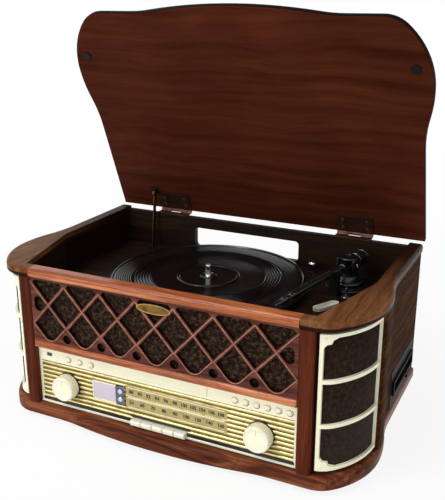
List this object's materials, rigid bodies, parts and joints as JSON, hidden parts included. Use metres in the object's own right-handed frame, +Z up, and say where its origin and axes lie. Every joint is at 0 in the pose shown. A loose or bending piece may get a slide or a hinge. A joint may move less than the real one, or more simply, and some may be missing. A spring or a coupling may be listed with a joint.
{
  "type": "stereo music centre",
  "caption": "Wooden table-top music centre with a record deck under a hinged lid, a radio and CD front behind fretwork, curved corner speaker grilles and a side cassette slot.",
  "frame": {"origin": "on the floor under the feet, in the middle of the overall box with the lid held open", "axes": "+X to the right seen from the front, +Y to the back, +Z up"},
  "size_m": [0.5282, 0.3555, 0.545],
  "materials": {
    "cabinet_wood": "satin lacquered",
    "deck_wood": "dark stained",
    "fret_wood": "satin lacquered",
    "speaker_cloth": "woven",
    "cream_plastic": "gloss",
    "gold_panel": "brushed",
    "white_keys": "gloss",
    "chrome": "polished",
    "display": "backlit",
    "scale": "printed",
    "brass": "aged",
    "black_plastic": "satin",
    "black_rubber": "matt",
    "aluminium": "cast",
    "steel": "brushed",
    "circuit_board": "soldered",
    "drive_unit": "pressed",
    "cone_paper": "matt"
  },
  "bodies": {
    "cabinet": {"base_plinth": "cabinet_wood", "cabinet_hinge_leaves": "steel", "cassette_deck": "black_plastic", "cd_drive": "drive_unit", "deck_board": "deck_wood", "dial_scale": "scale", "display_module": "display", "drive_belt": "black_rubber", "front_posts": "cabinet_wood", "grille_cloths": "speaker_cloth", "lattice_cloth": "speaker_cloth", "lattice_panel": "fret_wood", "left_grille_frame": "cream_plastic", "left_side_panel": "cabinet_wood", "main_board": "circuit_board", "mid_rail": "cabinet_wood", "ornament_plate": "brass", "radio_fascia": "cream_plastic", "rear_panel": "deck_wood", "reeded_panel": "gold_panel", "right_grille_frame": "cream_plastic", "right_side_panel": "cabinet_wood", "rim_caps": "cabinet_wood", "rubber_feet": "black_rubber", "speaker_baffles": "deck_wood", "speakers": "cone_paper", "tonearm_base": "black_plastic", "top_rail": "cabinet_wood", "turntable_motor": "drive_unit"},
    "lid": {"lid_board": "cabinet_wood", "lid_bumpers": "black_rubber", "lid_hinge_leaves": "steel", "stay_bracket": "steel"},
    "stay": {"lid_stay": "steel"},
    "platter": {"platter": "aluminium", "platter_mat": "black_rubber"},
    "pulley": {"motor_pulley": "steel"},
    "gimbal": {"tonearm_gimbal": "black_plastic"},
    "tonearm": {"tonearm": "black_plastic"},
    "speed_lever": {"speed_lever": "cream_plastic"},
    "cd_tray": {"cd_tray": "cream_plastic"},
    "volume_knob": {"volume_knob": "cream_plastic"},
    "tuning_knob": {"tuning_knob": "cream_plastic"},
    "piano_key_1": {"piano_key_1": "white_keys"},
    "piano_key_2": {"piano_key_2": "white_keys"},
    "piano_key_3": {"piano_key_3": "white_keys"},
    "piano_key_4": {"piano_key_4": "white_keys"},
    "piano_key_5": {"piano_key_5": "white_keys"},
    "left_button_1": {"left_button_1": "cream_plastic"},
    "left_button_2": {"left_button_2": "cream_plastic"},
    "left_button_3": {"left_button_3": "cream_plastic"},
    "right_button_1": {"right_button_1": "cream_plastic"},
    "right_button_2": {"right_button_2": "cream_plastic"},
    "right_button_3": {"right_button_3": "cream_plastic"},
    "right_button_4": {"right_button_4": "cream_plastic"},
    "right_button_5": {"right_button_5": "cream_plastic"},
    "right_button_6": {"right_button_6": "cream_plastic"},
    "display_button_upper": {"display_button_upper": "chrome"},
    "display_button_lower": {"display_button_lower": "chrome"},
    "cassette_button": {"cassette_button": "black_plastic"}
  },
  "joints": [
    {"name": "lid_hinge", "type": "hinge", "parent": "cabinet", "child": "lid", "pos_m": [0, 0.16567, 0.2205], "axis": [1, 0, 0], "range_deg": [0, 68]},
    {"name": "stay_pivot", "type": "hinge", "parent": "lid", "child": "stay", "pos_m": [-0.178, 0.14384, 0.25051], "axis": [1, 0, 0], "range_deg": [-57, 0]},
    {"name": "platter_spin", "type": "hinge", "parent": "cabinet", "child": "platter", "pos_m": [-0.013, 0.00717, 0.1797], "axis": [0, 0, 1], "continuous": true},
    {"name": "motor_spin", "type": "hinge", "parent": "cabinet", "child": "pulley", "pos_m": [-0.0895, -0.05663, 0.173], "axis": [0, 0, 1], "continuous": true},
    {"name": "tonearm_swing", "type": "hinge", "parent": "cabinet", "child": "gimbal", "pos_m": [0.1637, 0.09217, 0.198], "axis": [0, 0, -1], "range_deg": [0, 41]},
    {"name": "tonearm_lift", "type": "hinge", "parent": "gimbal", "child": "tonearm", "pos_m": [0.1637, 0.09217, 0.198], "axis": [-0.9816, 0.1908, 0], "range_deg": [0, 5]},
    {"name": "speed_lever_turn", "type": "hinge", "parent": "cabinet", "child": "speed_lever", "pos_m": [0.16, 0.00937, 0.163], "axis": [0, 0, 1], "range_deg": [-12, 12]},
    {"name": "cd_tray_slide", "type": "slide", "parent": "cabinet", "child": "cd_tray", "axis": [0, -1, 0], "range_m": [0, 0.128]},
    {"name": "volume_turn", "type": "hinge", "parent": "cabinet", "child": "volume_knob", "pos_m": [-0.1395, -0.16363, 0.059], "axis": [0, 1, 0], "range_deg": [-150, 150]},
    {"name": "tuning_turn", "type": "hinge", "parent": "cabinet", "child": "tuning_knob", "pos_m": [0.1395, -0.16363, 0.059], "axis": [0, 1, 0], "continuous": true},
    {"name": "piano_key_1_press", "type": "slide", "parent": "cabinet", "child": "piano_key_1", "axis": [0, 1, 0], "range_m": [0, 0.003], "stiffness_N_per_m": 150, "springref_m": -0.003},
    {"name": "piano_key_2_press", "type": "slide", "parent": "cabinet", "child": "piano_key_2", "axis": [0, 1, 0], "range_m": [0, 0.003], "stiffness_N_per_m": 150, "springref_m": -0.003},
    {"name": "piano_key_3_press", "type": "slide", "parent": "cabinet", "child": "piano_key_3", "axis": [0, 1, 0], "range_m": [0, 0.003], "stiffness_N_per_m": 150, "springref_m": -0.003},
    {"name": "piano_key_4_press", "type": "slide", "parent": "cabinet", "child": "piano_key_4", "axis": [0, 1, 0], "range_m": [0, 0.003], "stiffness_N_per_m": 150, "springref_m": -0.003},
    {"name": "piano_key_5_press", "type": "slide", "parent": "cabinet", "child": "piano_key_5", "axis": [0, 1, 0], "range_m": [0, 0.003], "stiffness_N_per_m": 150, "springref_m": -0.003},
    {"name": "left_button_1_press", "type": "slide", "parent": "cabinet", "child": "left_button_1", "axis": [0, 1, 0], "range_m": [0, 0.0012], "stiffness_N_per_m": 200, "springref_m": -0.002},
    {"name": "left_button_2_press", "type": "slide", "parent": "cabinet", "child": "left_button_2", "axis": [0, 1, 0], "range_m": [0, 0.0012], "stiffness_N_per_m": 200, "springref_m": -0.002},
    {"name": "left_button_3_press", "type": "slide", "parent": "cabinet", "child": "left_button_3", "axis": [0, 1, 0], "range_m": [0, 0.0012], "stiffness_N_per_m": 200, "springref_m": -0.002},
    {"name": "right_button_1_press", "type": "slide", "parent": "cabinet", "child": "right_button_1", "axis": [0, 1, 0], "range_m": [0, 0.0012], "stiffness_N_per_m": 200, "springref_m": -0.002},
    {"name": "right_button_2_press", "type": "slide", "parent": "cabinet", "child": "right_button_2", "axis": [0, 1, 0], "range_m": [0, 0.0012], "stiffness_N_per_m": 200, "springref_m": -0.002},
    {"name": "right_button_3_press", "type": "slide", "parent": "cabinet", "child": "right_button_3", "axis": [0, 1, 0], "range_m": [0, 0.0012], "stiffness_N_per_m": 200, "springref_m": -0.002},
    {"name": "right_button_4_press", "type": "slide", "parent": "cabinet", "child": "right_button_4", "axis": [0, 1, 0], "range_m": [0, 0.0012], "stiffness_N_per_m": 200, "springref_m": -0.002},
    {"name": "right_button_5_press", "type": "slide", "parent": "cabinet", "child": "right_button_5", "axis": [0, 1, 0], "range_m": [0, 0.0012], "stiffness_N_per_m": 200, "springref_m": -0.002},
    {"name": "right_button_6_press", "type": "slide", "parent": "cabinet", "child": "right_button_6", "axis": [0, 1, 0], "range_m": [0, 0.0012], "stiffness_N_per_m": 200, "springref_m": -0.002},
    {"name": "display_button_upper_press", "type": "slide", "parent": "cabinet", "child": "display_button_upper", "axis": [0, 1, 0], "range_m": [0, 0.001], "stiffness_N_per_m": 200, "springref_m": -0.002},
    {"name": "display_button_lower_press", "type": "slide", "parent": "cabinet", "child": "display_button_lower", "axis": [0, 1, 0], "range_m": [0, 0.001], "stiffness_N_per_m": 200, "springref_m": -0.002},
    {"name": "cassette_button_press", "type": "slide", "parent": "cabinet", "child": "cassette_button", "axis": [-1, 0, 0], "range_m": [0, 0.0025], "stiffness_N_per_m": 300, "springref_m": -0.003}
  ],
  "couplings": [
    {"joint": "stay_pivot", "follows": "lid_hinge", "ratio": -0.835},
    {"joint": "motor_spin", "follows": "platter_spin", "ratio": 12}
  ]
}
